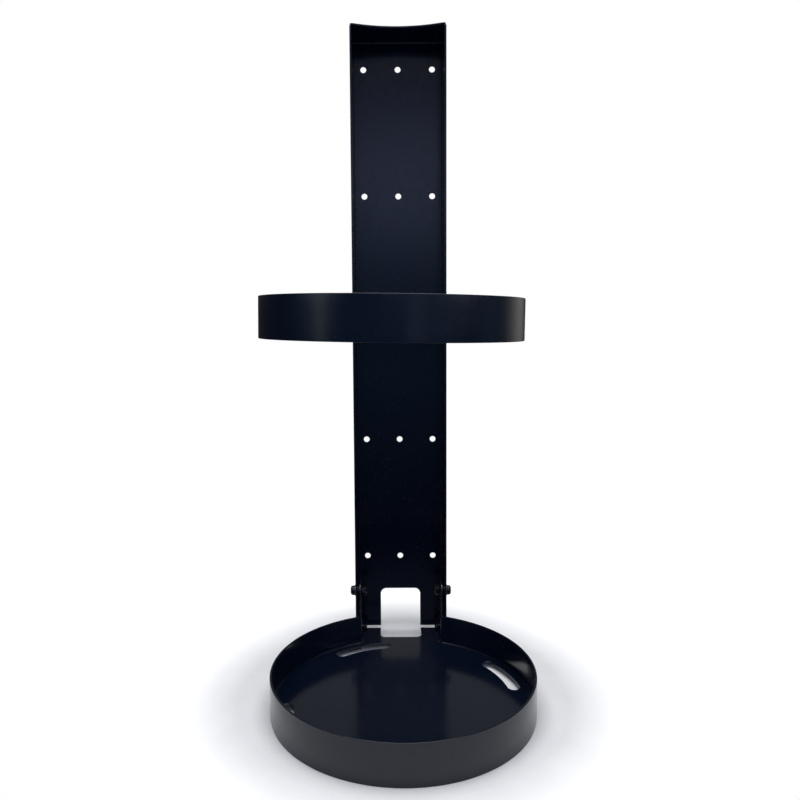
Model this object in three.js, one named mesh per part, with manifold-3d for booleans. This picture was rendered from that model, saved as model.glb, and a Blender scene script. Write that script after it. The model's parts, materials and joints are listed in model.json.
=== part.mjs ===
// Knock-down umbrella stand in folded and welded steel sheet, in millimetres, +Z up.
// X runs to the right and Y runs back towards the wall. The origin is on the ground,
// under the middle of the stand's depth.
//
// A round tray carries two upturned ears. A tall folded column hangs on the ears by
// one bolt per side and can be folded forward over the tray. A hoop for the umbrellas
// is screwed to the middle one of the column's five rows of holes.

import * as THREE from 'three';
import { mergeVertices } from 'three/addons/utils/BufferGeometryUtils.js';
import Module from 'manifold-3d';

const wasm = await Module();
wasm.setup();

// ---- Driving dimensions ----

const sheet = 2; // thickness of every steel sheet
const gap = 0.3; // left between faces that touch in the real stand

// Tray
const trayRadius = 125; // outside of the rim strip
const rimHeight = 37;
const floorUnderside = 4.8; // the floor plate sits this high inside the rim
const slotCount = 4;
const slotFirstAngle = 22.5; // degrees from +X, seen from above
const slotInset = 15; // from the rim's outside to the middle line of the arc slots
const slotWidth = 12;
const slotHalfSpan = 13.1; // degrees from a slot's middle to the centre of its round end

// Ears and the tab between them
const earFlangeGap = 2; // between an ear and the column flange beside it
const earTopAbovePivot = 12.6;
const earCornerRadius = 8;
const earBendInner = 3;
const tabColumnGap = 10.8; // from the tab's rear edge to the column plate
const notchDepth = 24.7; // cut into the tab from its rear edge
const notchCornerRadius = 6;

// Column
const columnHeight = 671.8; // top of the column above the ground
const columnBottom = 4.8;
const columnWidth = 100.8;
const columnDepth = 52.4;
const columnBendInner = 1;
const topPlateInset = 0.4; // the top plate is this much narrower than the column, per side
const topPlateCornerRadius = 1.5;
const cutoutWidth = 46.2;
const cutoutTop = 50;
const cutoutCornerRadius = 6.5;

// Rows of holes in the column
const rowCount = 5;
const rowPitch = 138;
const topRowBelowTop = 30.5;
const holeFromFlange = 10.3; // from a flange's inner face to the outer holes' centres

// Hoop
const hoopRadius = 120; // outside of the strip
const hoopHeight = 37.3;
const hoopRow = 2; // counted from the top row, which is 0
const hoopRise = 0.8; // the hoop's mid-height above its row of holes
const hoopSideStep = -8.6; // the hoop is welded on a little to the left
const hoopTilt = 0.017; // radians, right side low
const bracketHeight = 32;
const bracketBendInner = 1;

// Fasteners, M6
const boltRadius = 3;
const boltClearance = 0.3; // between a bolt's shank and every hole that it passes
const headRadius = 5.25;
const headHeight = 4;
const headEdge = 1.4; // straight side of the domed head
const socketRadius = 2.3; // over the corners of the hexagon
const socketDepth = 2.1;
const crownFlat = 0.5; // flat ring round the socket's corners
const boltChamfer = 0.6;
const boltPastNut = 0.8;
const washerRadius = 6;
const washerThickness = 1.6;
const nutAcrossFlats = 10;
const nutHeight = 5.2;

// Pivot of the column on the ears
const pivotHeight = 59.4;
const pivotBehindFront = 19.5; // from the front edges of the column's flanges

// Facets of the round stretches
const hoopSteps = 120;
const rimSteps = 108;
const hollowEdgeSteps = 24;
const holeSteps = 24;
const foldSteps = 6;
const domeSteps = 5;

// ---- Places worked out from the dimensions, with the tray's axis at x = 0, y = 0 ----

const floorTop = floorUnderside + sheet;
const slotRadius = trayRadius - slotInset;
const halfWidth = columnWidth / 2;
const innerHalfWidth = halfWidth - sheet;
const holeSpacing = innerHalfWidth - holeFromFlange;
const holeRadius = boltRadius + boltClearance;
const columnFront = rearOf(trayRadius, innerHalfWidth) + gap;
const columnBack = columnFront + columnDepth;
const plateFront = columnBack - sheet;
const earOuter = innerHalfWidth - earFlangeGap;
const earInner = earOuter - sheet;
const earFront = rearOf(trayRadius, earInner) + gap;
const tabRear = plateFront - tabColumnGap;
const pivotY = columnFront + pivotBehindFront;
const hoopRowHeight = columnHeight - topRowBelowTop - hoopRow * rowPitch;
const hoopCentreHeight = hoopRowHeight + hoopRise;
const hoopCentreY = columnFront - gap - rearOf(hoopRadius, innerHalfWidth - Math.abs(hoopSideStep));
const screwHeadFace = columnBack + gap;
const standBack = screwHeadFace + headHeight;

// The y of a circle's rear side at the given x, for a circle centred on the origin.
function rearOf(radius, x) {
  return Math.sqrt(radius * radius - x * x);
}

// ---- Materials ----

function coatedSteel() {
  return new THREE.MeshStandardMaterial({ color: 0x15181d, roughness: 0.42, metalness: 0.0 });
}

function blackZinc() {
  return new THREE.MeshStandardMaterial({ color: 0x2b2d31, roughness: 0.3, metalness: 0.9 });
}

// ---- Geometry helpers ----

function degrees(angle) {
  return THREE.MathUtils.degToRad(angle);
}

// Points of an arc, from angle start to angle end in degrees, both ends included.
function arc(x, y, radius, start, end, steps) {
  const points = [];
  for (let i = 0; i <= steps; i += 1) {
    const angle = degrees(start + ((end - start) * i) / steps);
    points.push(new THREE.Vector2(x + radius * Math.cos(angle), y + radius * Math.sin(angle)));
  }
  return points;
}

// The corners of a regular outline about (0, 0), with the first one on +X.
function ring(radius, steps) {
  return arc(0, 0, radius, 0, 360 - 360 / steps, steps - 1);
}

function point(x, y) {
  return new THREE.Vector2(x, y);
}

// A rectangle from (x0, y0) to (x1, y1) with one radius per corner: the two at y0, then
// the two at y1, counter-clockwise.
function roundedRectangle(x0, y0, x1, y1, radii) {
  const corners = [
    [x0, y0, 1, 1, 180],
    [x1, y0, -1, 1, 270],
    [x1, y1, -1, -1, 0],
    [x0, y1, 1, -1, 90],
  ];
  return corners.flatMap(([x, y, inX, inY, start], i) => {
    const r = radii[i];
    return r === 0 ? [point(x, y)] : arc(x + inX * r, y + inY * r, r, start, start + 90, foldSteps);
  });
}

function extrude(outline, depth) {
  return new THREE.ExtrudeGeometry(new THREE.Shape(outline), { depth, bevelEnabled: false });
}

// An outline in (x, y), raised from z0 to z1.
function alongZ(outline, z0, z1) {
  return extrude(outline, z1 - z0).translate(0, 0, z0);
}

// An outline in (y, z), carried from x0 to x1.
function alongX(outline, x0, x1) {
  const turn = new THREE.Matrix4().makeBasis(
    new THREE.Vector3(0, 1, 0),
    new THREE.Vector3(0, 0, 1),
    new THREE.Vector3(1, 0, 0),
  );
  return extrude(outline, x1 - x0).applyMatrix4(turn).translate(x0, 0, 0);
}

// An outline in (x, z), carried from y0 to y1.
function alongY(outline, y0, y1) {
  return extrude(outline, y1 - y0).rotateX(Math.PI / 2).translate(0, y1, 0);
}

function solid(geometry) {
  const bare = new THREE.BufferGeometry();
  bare.setAttribute('position', geometry.getAttribute('position').clone());
  if (geometry.index) {
    bare.setIndex(geometry.index.clone());
  }
  const merged = mergeVertices(bare, 1e-4);
  const vertProperties = new Float32Array(merged.getAttribute('position').array);
  const triVerts = new Uint32Array(merged.index.array);
  return new wasm.Manifold(new wasm.Mesh({ numProp: 3, vertProperties, triVerts }));
}

function geometryOf(body) {
  const { vertProperties, triVerts } = body.getMesh();
  const geometry = new THREE.BufferGeometry();
  geometry.setAttribute('position', new THREE.BufferAttribute(vertProperties, 3));
  geometry.setIndex(new THREE.BufferAttribute(triVerts, 1));
  geometry.computeVertexNormals();
  return geometry;
}

function pierce(body, cutters) {
  return cutters.reduce((rest, cutter) => rest.subtract(solid(cutter)), body);
}

// A round cutter along Y, through the column's plate.
function holeAlongY(x, z, y0, y1) {
  return new THREE.CylinderGeometry(holeRadius, holeRadius, y1 - y0, holeSteps)
    .translate(x, (y0 + y1) / 2, z);
}

// A round cutter along X, through both flanges or both ears.
function holeAlongX(y, z, reach) {
  return new THREE.CylinderGeometry(holeRadius, holeRadius, 2 * reach, holeSteps)
    .rotateZ(Math.PI / 2)
    .translate(0, y, z);
}

// A strip folded twice into a U, seen along its fold lines: the base's outer face is at
// v = base, the arms run to v = tip, and the outer faces of the arms are at u = +-half.
function foldedU(half, base, tip, inner) {
  const towards = Math.sign(tip - base);
  const outer = inner + sheet;
  const bend = base + towards * outer;
  const side = (r, from, to) => arc(half - outer, bend, r, from, to, foldSteps);
  const outside = side(outer, towards * -90, 0);
  const inside = side(inner, 0, towards * -90);
  const right = [...outside, point(half, tip), point(half - sheet, tip), ...inside];
  const left = right.map((p) => point(-p.x, p.y)).reverse();
  return [...right, ...left];
}

function placed(name, geometry, material, parent) {
  const mesh = new THREE.Mesh(geometry, material);
  mesh.name = name;
  parent.add(mesh);
  return mesh;
}

// ---- Tray ----

// An arc slot about the tray's axis, with round ends.
function slotOutline(middleAngle) {
  const start = middleAngle - slotHalfSpan;
  const end = middleAngle + slotHalfSpan;
  const half = slotWidth / 2;
  const endCentre = (angle) => [
    slotRadius * Math.cos(degrees(angle)),
    slotRadius * Math.sin(degrees(angle)),
  ];
  return [
    ...arc(0, 0, slotRadius + half, start, end, 10),
    ...arc(...endCentre(end), half, end, end + 180, 8).slice(1, -1),
    ...arc(0, 0, slotRadius - half, end, start, 10),
    ...arc(...endCentre(start), half, start + 180, start + 360, 8).slice(1, -1),
  ];
}

// The round floor plate, with a tab behind it whose sides fold up into the two ears.
function trayFloorGeometry() {
  const discRadius = trayRadius - sheet - gap;
  const disc = solid(alongZ(ring(discRadius, hoopSteps), floorUnderside, floorTop));
  const neckHalf = earOuter - earBendInner - sheet;
  const neckOutline = roundedRectangle(-neckHalf, 0, neckHalf, earFront + sheet, [0, 0, 0, 0]);
  const neck = solid(alongZ(neckOutline, floorUnderside, floorTop));
  const earTop = pivotHeight + earTopAbovePivot;
  const fold = solid(alongY(foldedU(earOuter, floorUnderside, earTop, earBendInner), earFront, tabRear));
  const corners = [0, 0, earCornerRadius, earCornerRadius];
  const sideView = roundedRectangle(earFront, floorUnderside - 1, tabRear, earTop, corners);
  const ears = fold.intersect(solid(alongX(sideView, -halfWidth, halfWidth)));
  const notch = roundedRectangle(
    -cutoutWidth / 2,
    tabRear - notchDepth,
    cutoutWidth / 2,
    tabRear + 1,
    [notchCornerRadius, notchCornerRadius, 0, 0],
  );
  const cutters = [
    alongZ(notch, floorUnderside - 1, floorTop + 1),
    holeAlongX(pivotY, pivotHeight, halfWidth),
  ];
  for (let i = 0; i < slotCount; i += 1) {
    const outline = slotOutline(slotFirstAngle + (i * 360) / slotCount);
    cutters.push(alongZ(outline, floorUnderside - 1, floorTop + 1));
  }
  return geometryOf(pierce(disc.add(neck).add(ears), cutters));
}

// The rim strip, open at the back between the ears, whose front edges its ends cover.
function trayRimGeometry() {
  const middle = trayRadius - sheet / 2;
  const halfOpening = THREE.MathUtils.radToDeg(Math.asin(earInner / middle));
  const start = 90 + halfOpening;
  const end = 450 - halfOpening;
  const outline = [
    ...arc(0, 0, trayRadius, start, end, rimSteps),
    ...arc(0, 0, trayRadius - sheet, end, start, rimSteps),
  ];
  return alongZ(outline, 0, rimHeight);
}

// ---- Column ----

// A channel folded from one sheet: back plate, two flanges forward, and a top plate
// folded forward over the flanges, whose front edge is hollow.
function columnGeometry() {
  const outerBend = columnBendInner + sheet;
  const bendStart = columnHeight - outerBend;
  const section = foldedU(halfWidth, columnBack, columnFront, columnBendInner);
  const channel = solid(alongZ(section, columnBottom, bendStart));
  const flangeTop = columnHeight - sheet - gap;
  const flangeTips = [-halfWidth, innerHalfWidth].map((x) => {
    const outline = roundedRectangle(x, columnFront, x + sheet, columnBack - outerBend, [0, 0, 0, 0]);
    return solid(alongZ(outline, bendStart - 1, flangeTop));
  });

  // The top fold, seen from the side, only as wide as the flat part of the plate.
  const foldY = columnBack - outerBend;
  const topFold = [
    point(columnBack, bendStart - 1),
    ...arc(foldY, bendStart, outerBend, 0, 90, foldSteps),
    point(foldY - 1, columnHeight),
    point(foldY - 1, columnHeight - sheet),
    ...arc(foldY, bendStart, columnBendInner, 90, 0, foldSteps),
    point(plateFront, bendStart - 1),
  ];
  const foldHalf = halfWidth - outerBend;
  const topHalf = halfWidth - topPlateInset;
  const frontCornerY = rearOf(trayRadius, topHalf);
  const cornerAngle = THREE.MathUtils.radToDeg(Math.acos(topHalf / trayRadius));
  const cutAngle = cornerAngle + THREE.MathUtils.radToDeg(topPlateCornerRadius / trayRadius);
  const corner = (side) => point(side * topHalf, frontCornerY + topPlateCornerRadius);
  const inArc = arc(0, 0, trayRadius, 180 - cutAngle, cutAngle, hollowEdgeSteps);
  const topOutline = [corner(1), point(topHalf, foldY), point(-topHalf, foldY), corner(-1), ...inArc];
  const topPlate = solid(alongZ(topOutline, columnHeight - sheet, columnHeight));

  const cutout = roundedRectangle(
    -cutoutWidth / 2,
    columnBottom - 1,
    cutoutWidth / 2,
    cutoutTop,
    [0, 0, cutoutCornerRadius, cutoutCornerRadius],
  );
  const cutters = [
    alongY(cutout, plateFront - 1, columnBack + 1),
    holeAlongX(pivotY, pivotHeight, halfWidth + 1),
  ];
  for (let row = 0; row < rowCount; row += 1) {
    const z = columnHeight - topRowBelowTop - row * rowPitch;
    for (const x of [-holeSpacing, 0, holeSpacing]) {
      cutters.push(holeAlongY(x, z, plateFront - 1, columnBack + 1));
    }
  }
  const folded = channel
    .add(solid(alongX(topFold, -foldHalf, foldHalf)))
    .add(topPlate)
    .add(flangeTips[0])
    .add(flangeTips[1]);
  return geometryOf(pierce(folded, cutters));
}

// ---- Hoop and its bracket ----

function ringGeometry(outer, inner, height) {
  const profile = [
    point(inner, -height / 2),
    point(outer, -height / 2),
    point(outer, height / 2),
    point(inner, height / 2),
    point(inner, -height / 2),
  ];
  return new THREE.LatheGeometry(profile, hoopSteps).rotateX(Math.PI / 2);
}

// A U bracket whose web lies on the column plate and whose arms reach forward to the
// hoop, cut hollow to the hoop's outside.
function hoopBracketGeometry() {
  const reach = hoopCentreY + rearOf(hoopRadius, innerHalfWidth + Math.abs(hoopSideStep)) - sheet;
  const half = innerHalfWidth - gap;
  const web = plateFront - gap;
  const low = hoopRowHeight - bracketHeight / 2;
  const high = hoopRowHeight + bracketHeight / 2;
  const folded = solid(alongZ(foldedU(half, web, reach, bracketBendInner), low, high));
  const spaceRadius = hoopRadius + gap;
  const hoopSpace = new THREE.CylinderGeometry(spaceRadius, spaceRadius, 2 * hoopHeight, hoopSteps)
    .rotateX(Math.PI / 2)
    .rotateY(hoopTilt)
    .translate(hoopSideStep, hoopCentreY, hoopCentreHeight);
  const holes = [-holeSpacing, 0, holeSpacing].map((x) => {
    return holeAlongY(x, hoopRowHeight, web - sheet - 1, web + 1);
  });
  return geometryOf(pierce(folded, [hoopSpace, ...holes]));
}

// ---- Fasteners, made along Z with the clamped faces at z = 0 ----

// The head stands on z = 0 and the shank runs down to z = -length.
function boltGeometry(length) {
  const dome = [];
  const flat = socketRadius + crownFlat;
  for (let i = 0; i <= domeSteps; i += 1) {
    const angle = degrees((90 * i) / domeSteps);
    const r = flat + (headRadius - flat) * Math.cos(angle);
    dome.push(point(r, headEdge + (headHeight - headEdge) * Math.sin(angle)));
  }
  const profile = [
    point(0, -length),
    point(boltRadius - boltChamfer, -length),
    point(boltRadius, boltChamfer - length),
    point(boltRadius, 0),
    point(headRadius, 0),
    ...dome,
    point(0, headHeight),
  ];
  const turned = solid(new THREE.LatheGeometry(profile, holeSteps).rotateX(Math.PI / 2));
  const socket = new THREE.CylinderGeometry(socketRadius, socketRadius, 2 * socketDepth, 6)
    .rotateX(Math.PI / 2)
    .translate(0, 0, headHeight);
  return geometryOf(turned.subtract(solid(socket)));
}

function washerGeometry(thickness) {
  const shape = new THREE.Shape(ring(washerRadius, holeSteps));
  shape.holes.push(new THREE.Path(ring(holeRadius, holeSteps)));
  return new THREE.ExtrudeGeometry(shape, { depth: thickness, bevelEnabled: false });
}

function nutGeometry() {
  const corner = nutAcrossFlats / Math.sqrt(3);
  const shape = new THREE.Shape(ring(corner, 6));
  shape.holes.push(new THREE.Path(ring(holeRadius, holeSteps)));
  return new THREE.ExtrudeGeometry(shape, { depth: nutHeight, bevelEnabled: false });
}

// ---- Assembly ----

// One bolt per side: head and washer outside the flange, a spacer between flange and
// ear, and the nut inside the ear. In the turned group, +Z points out of the stand.
function addPivot(parent, side, label) {
  const pivot = new THREE.Group();
  pivot.position.set(0, pivotY, pivotHeight);
  pivot.rotation.y = (side * Math.PI) / 2;
  parent.add(pivot);
  const washerFace = halfWidth + gap;
  const headFace = washerFace + washerThickness + gap;
  const nutTip = earInner - gap - nutHeight;
  const length = headFace - nutTip + boltPastNut;
  const bolt = placed(`pivot_bolt_${label}`, boltGeometry(length), blackZinc(), pivot);
  bolt.position.z = headFace;
  const washer = placed(`pivot_washer_${label}`, washerGeometry(washerThickness), blackZinc(), pivot);
  washer.position.z = washerFace;
  const spacerThickness = earFlangeGap - 2 * gap;
  const spacer = placed(`pivot_spacer_${label}`, washerGeometry(spacerThickness), blackZinc(), pivot);
  spacer.position.z = earOuter + gap;
  const nut = placed(`pivot_nut_${label}`, nutGeometry(), blackZinc(), pivot);
  nut.position.z = nutTip;
}

// One screw of the hoop: head behind the plate, washer and nut inside the bracket. In
// the turned group, +Z points back, out of the plate.
function addHoopScrew(parent, x, label) {
  const place = new THREE.Group();
  place.position.set(x, 0, hoopRowHeight);
  place.rotation.x = -Math.PI / 2;
  parent.add(place);
  const washerBack = plateFront - gap - sheet - gap;
  const nutBack = washerBack - washerThickness - gap;
  const nutTip = nutBack - nutHeight;
  const length = screwHeadFace - nutTip + boltPastNut;
  const screw = placed(`hoop_screw_${label}`, boltGeometry(length), blackZinc(), place);
  screw.position.z = screwHeadFace;
  const washer = placed(`hoop_washer_${label}`, washerGeometry(washerThickness), blackZinc(), place);
  washer.position.z = washerBack - washerThickness;
  const nut = placed(`hoop_nut_${label}`, nutGeometry(), blackZinc(), place);
  nut.position.z = nutTip;
}

const group = new THREE.Group();
const stand = new THREE.Group();
stand.position.y = (trayRadius - standBack) / 2;
group.add(stand);

placed('tray_floor', trayFloorGeometry(), coatedSteel(), stand);
placed('tray_rim', trayRimGeometry(), coatedSteel(), stand);
placed('column', columnGeometry(), coatedSteel(), stand);
placed('hoop_bracket', hoopBracketGeometry(), coatedSteel(), stand);

const hoop = placed(
  'hoop_band',
  ringGeometry(hoopRadius, hoopRadius - sheet, hoopHeight),
  coatedSteel(),
  stand,
);
hoop.position.set(hoopSideStep, hoopCentreY, hoopCentreHeight);
hoop.rotation.y = hoopTilt;

addPivot(stand, -1, 'left');
addPivot(stand, 1, 'right');
addHoopScrew(stand, -holeSpacing, 'left');
addHoopScrew(stand, 0, 'middle');
addHoopScrew(stand, holeSpacing, 'right');

export default group;
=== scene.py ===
"""The looks of a knock-down umbrella stand in folded, rolled and welded steel sheet.

Each sheet part starts as a flat pattern of quads in (u, v), as it is cut. The pattern is folded
or rolled on to the middle of its sheet, and Solidify and Bevel give it its thickness and its
rounded edges. Bolts, nuts, washers and weld beads are skins drawn through rings of points.
Everything is in metres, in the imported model's frame: +Z up, Y runs back, the origin on the
ground.
"""

import json
import math

import bmesh
import bpy
import numpy as np
from mathutils import Matrix, Vector


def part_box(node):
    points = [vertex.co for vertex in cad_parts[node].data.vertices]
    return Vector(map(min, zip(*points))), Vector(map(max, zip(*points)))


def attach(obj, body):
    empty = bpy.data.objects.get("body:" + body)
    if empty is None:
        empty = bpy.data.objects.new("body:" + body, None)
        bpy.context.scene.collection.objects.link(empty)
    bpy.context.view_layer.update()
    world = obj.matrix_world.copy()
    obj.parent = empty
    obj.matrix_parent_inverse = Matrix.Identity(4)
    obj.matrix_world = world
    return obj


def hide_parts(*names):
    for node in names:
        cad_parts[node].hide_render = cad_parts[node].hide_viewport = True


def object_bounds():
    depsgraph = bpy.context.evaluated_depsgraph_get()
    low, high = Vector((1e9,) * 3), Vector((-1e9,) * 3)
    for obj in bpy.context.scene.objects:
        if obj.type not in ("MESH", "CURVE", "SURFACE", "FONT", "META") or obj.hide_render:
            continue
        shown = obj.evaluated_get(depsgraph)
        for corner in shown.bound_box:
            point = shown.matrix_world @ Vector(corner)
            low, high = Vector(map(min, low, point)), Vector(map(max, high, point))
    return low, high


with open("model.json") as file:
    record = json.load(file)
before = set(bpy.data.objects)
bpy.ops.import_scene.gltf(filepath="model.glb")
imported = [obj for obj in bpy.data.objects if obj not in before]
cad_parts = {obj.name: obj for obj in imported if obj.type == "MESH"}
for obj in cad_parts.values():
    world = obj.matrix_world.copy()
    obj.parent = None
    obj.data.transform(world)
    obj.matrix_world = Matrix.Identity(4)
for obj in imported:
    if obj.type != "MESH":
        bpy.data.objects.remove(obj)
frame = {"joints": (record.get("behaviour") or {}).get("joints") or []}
cad_low, cad_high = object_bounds()

MM = 0.001

# ---- Sizes of the sheet parts ----

SHEET = 2 * MM
GAP = 0.3 * MM
EDGE_ROUND = 0.45 * MM
COLUMN_FOLD = 2 * MM  # radius of the folds in the middle of the sheet
EAR_FOLD = 4 * MM
EAR_CORNER = 8 * MM
TOP_PLATE_INSET = 0.4 * MM
TOP_PLATE_CORNER = 4 * MM
CUTOUT_HALF_WIDTH = 23.1 * MM
CUTOUT_TOP = 50 * MM
CUTOUT_CORNER = 6.5 * MM
NOTCH_DEPTH = 24.7 * MM
NOTCH_CORNER = 6 * MM
HOLE_RADIUS = 3.3 * MM
HOLE_MARGIN = 3.2 * MM  # from a hole's edge to the block of cells that it is cut from
ROW_PITCH = 138 * MM
HOLE_STEPS = 8  # pattern lines across a hole's block
CORNER_STEPS = 7  # pattern lines across a rounded corner
ROWS_EACH_WAY = 2  # above and below the hoop's row
TRAY_RADIUS = 125 * MM
SLOT_INSET = 15 * MM
SLOT_HALF_WIDTH = 6 * MM
SLOT_HALF_SPAN = math.radians(13.1)
SLOT_FIRST_ANGLE = math.radians(22.5)
SLOT_COUNT = 4
SLOT_MARGIN = 1 * MM
HOOP_TILT = 0.017  # radians about Y
ARM_PATTERN = 40 * MM  # the bracket's arms before they are stretched

# ---- Sizes of the weld beads ----

FILLET_WELD = 1.1 * MM
RIM_END_WELD = 1.5 * MM
WELD_DROPS = [(41.5 * MM, 1.2 * MM), (48.5 * MM, 0.9 * MM)]  # (height, radius), on the ears' edges
HEEL_WELD = 2.6 * MM
HEEL_WELD_LENGTH = 7 * MM
STITCH_WELD = 1.3 * MM
STITCH_HALF_SPAN = math.radians(6)
STITCH_SPACES = 8  # round the tray, with no stitch at the back
BRACKET_WELD = 1.4 * MM
CORNER_WELD = 1.5 * MM
WELD_RIPPLE = 1.7 * MM

# ---- Sizes of the fasteners, M6 ----

HEAD_RADIUS = 5.25 * MM
HEAD_HEIGHT = 4 * MM
HEAD_EDGE = 1.4 * MM
SOCKET_APOTHEM = 2 * MM
SOCKET_DEPTH = 2.1 * MM
THREAD_CREST = 2.98 * MM
THREAD_ROOT = 2.45 * MM
THREAD_PITCH = 1 * MM
NUT_APOTHEM = 5 * MM
NUT_BORE = 3.05 * MM
WASHER_RADIUS = 6 * MM
TURN_STEPS = 48

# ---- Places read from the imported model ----

column_low, column_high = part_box("column")
rim_low, rim_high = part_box("tray_rim")
floor_low, floor_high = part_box("tray_floor")
hoop_low, hoop_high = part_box("hoop_band")
bracket_low, bracket_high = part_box("hoop_bracket")
screw_low, screw_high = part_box("hoop_screw_right")
spacer_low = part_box("pivot_spacer_right")[0]
pivot_y, pivot_z = frame["joints"][0]["pos_m"][1:]

tray_axis_y = rim_low.y + TRAY_RADIUS
floor_middle = floor_low.z + SHEET / 2
ear_outer = spacer_low.x - GAP
ear_inner = ear_outer - SHEET
ear_middle = ear_outer - SHEET / 2
ear_front = tray_axis_y + math.sqrt(TRAY_RADIUS**2 - ear_inner**2) + GAP
ear_back = floor_high.y
column_inner = column_high.x - SHEET
column_front = tray_axis_y + math.sqrt(TRAY_RADIUS**2 - column_inner**2) + GAP
plate_middle = column_high.y - SHEET / 2
hoop_centre = (hoop_low + hoop_high) / 2
hoop_radius = (hoop_high.y - hoop_low.y) / 2
hoop_height = hoop_high.z - hoop_low.z - (hoop_high.x - hoop_low.x) * math.tan(HOOP_TILT)
row_height = (screw_low.z + screw_high.z) / 2
hole_spacing = (screw_low.x + screw_high.x) / 2


# ---- Flat patterns ----


def lines(*stretches):
    """Pattern lines: each stretch (start, end, steps) is divided evenly and doubles go."""
    marks = [np.linspace(start, end, steps + 1) for start, end, steps in stretches]
    return np.unique(np.round(np.concatenate(marks), 8))


def thinned(marks, filler, clearance):
    """The marks, and those of the filler that keep a clearance from every mark."""
    far = np.abs(filler[:, None] - marks[None, :]).min(1) > clearance
    return np.unique(np.round(np.concatenate([marks, filler[far]]), 8))


def mirrored(*stretches):
    """The same stretches on both sides of u = 0."""
    return [*stretches, *[(-end, -start, steps) for start, end, steps in stretches]]


def around(centre, reach, steps):
    """The stretch that a block takes about its centre."""
    return centre - reach, centre + reach, steps


def block_side(us, vs, low, high, side):
    """The points where pattern lines end on one side of a block, counter-clockwise."""
    tiny = 1e-7
    u = us[(us > low[0] - tiny) & (us < high[0] + tiny)]
    v = vs[(vs > low[1] - tiny) & (vs < high[1] + tiny)]
    if side in "bt":
        points = np.column_stack([u, np.full(len(u), v[0] if side == "b" else v[-1])])
    else:
        points = np.column_stack([np.full(len(v), u[0] if side == "l" else u[-1]), v])
    return points if side in "br" else points[::-1]


def pattern(us, vs, keep, openings):
    """The quads (corner, u and v) of a flat pattern. They are the cells between lines us and vs
    whose middles keep() allows. Each opening (low corner, high corner, corner radius, margin,
    sides) trades its block of cells for quads from the block's sides to a rounded rectangle:
    each point of the sides is pulled towards the nearest point of the rectangle's core, which
    is smaller by the radius all round, until it is one radius away."""
    mid_u, mid_v = np.meshgrid((us[1:] + us[:-1]) / 2, (vs[1:] + vs[:-1]) / 2, indexing="ij")
    kept = keep(mid_u, mid_v)
    bands = []
    for low, high, radius, margin, sides in openings:
        low, high = np.array(low), np.array(high)
        outer_low, outer_high = low - margin, high + margin
        across = (mid_u > outer_low[0]) & (mid_u < outer_high[0])
        kept &= ~(across & (mid_v > outer_low[1]) & (mid_v < outer_high[1]))
        runs = [block_side(us, vs, outer_low, outer_high, side) for side in sides]
        path = np.concatenate([run[:-1] for run in runs] + [runs[-1][-1:]])
        core = np.clip(path, low + radius, high - radius)
        away = path - core
        edge = core + radius * away / np.linalg.norm(away, axis=1, keepdims=True)
        bands.append(np.stack([path[:-1], path[1:], edge[1:], edge[:-1]], 1))
    i, j = np.nonzero(kept)
    corners = [(i, j), (i + 1, j), (i + 1, j + 1), (i, j + 1)]
    return np.concatenate([np.stack([np.stack([us[a], vs[b]], -1) for a, b in corners], 1), *bands])


def everywhere(u, v):
    """Keeps every cell of a pattern."""
    return np.full(u.shape, True)


def hole(u, v):
    """A round hole for an M6 bolt, as an opening whose core is one point."""
    low = (u - HOLE_RADIUS, v - HOLE_RADIUS)
    high = (u + HOLE_RADIUS, v + HOLE_RADIUS)
    return low, high, HOLE_RADIUS, HOLE_MARGIN, "brtl"


def rounded_off(u, v, corner_u, corner_v, radius, away_u, away_v):
    """Points (u, v) with one outside corner rounded. In the square of side radius at the corner,
    a point moves along its line from the square's inner corner, so that squares about the
    inner corner turn into circles."""
    a = (u - corner_u) * away_u + radius
    b = (v - corner_v) * away_v + radius
    inside = (a > 0) & (b > 0)
    reach = np.hypot(a, b)
    scale = np.where(inside, np.maximum(a, b) / np.where(inside, reach, 1), 1)
    moved_u = corner_u + away_u * (a * scale - radius)
    moved_v = corner_v + away_v * (b * scale - radius)
    return np.where(inside, moved_u, u), np.where(inside, moved_v, v)


def fold(run, flat, radius):
    """A strip folded by a quarter turn each side of its flat middle: the path length run from
    the middle gives (distance across, distance along the arms)."""
    length = np.abs(run)
    turn = np.clip((length - flat) / radius, 0, math.pi / 2)
    arm = np.maximum(length - flat - radius * math.pi / 2, 0)
    across = np.sign(run) * (np.minimum(length, flat) + radius * np.sin(turn))
    return across, radius * (1 - np.cos(turn)) + arm


# ---- Meshes ----


def skin(rings, closed=False):
    """The quads through rings of points: rings is an array (ring, point round it, xyz). Each
    ring joins the next, and the last one the first if the skin is closed."""
    after = np.roll(rings, -1, axis=0)
    first, second = (rings, after) if closed else (rings[:-1], after[:-1])
    quads = [first, np.roll(first, -1, axis=1), np.roll(second, -1, axis=1), second]
    return np.stack(quads, 2).reshape(-1, 4, 3)


def part(name, quads, material, body, replaced=()):
    """A mesh object of the quads, an array (quad, corner, xyz), with shared points merged."""
    mesh = bpy.data.meshes.new(name)
    faces = np.arange(len(quads) * 4).reshape(-1, 4)
    mesh.from_pydata(quads.reshape(-1, 3).tolist(), [], faces.tolist())
    joined = bmesh.new()
    joined.from_mesh(mesh)
    bmesh.ops.remove_doubles(joined, verts=joined.verts, dist=0.004 * MM)
    bmesh.ops.recalc_face_normals(joined, faces=joined.faces)
    joined.to_mesh(mesh)
    joined.free()
    mesh.polygons.foreach_set("use_smooth", np.ones(len(mesh.polygons), bool))
    mesh.materials.append(material)
    piece = bpy.data.objects.new(name, mesh)
    bpy.context.scene.collection.objects.link(piece)
    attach(piece, body)
    if replaced:
        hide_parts(*replaced)
    return piece


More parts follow.
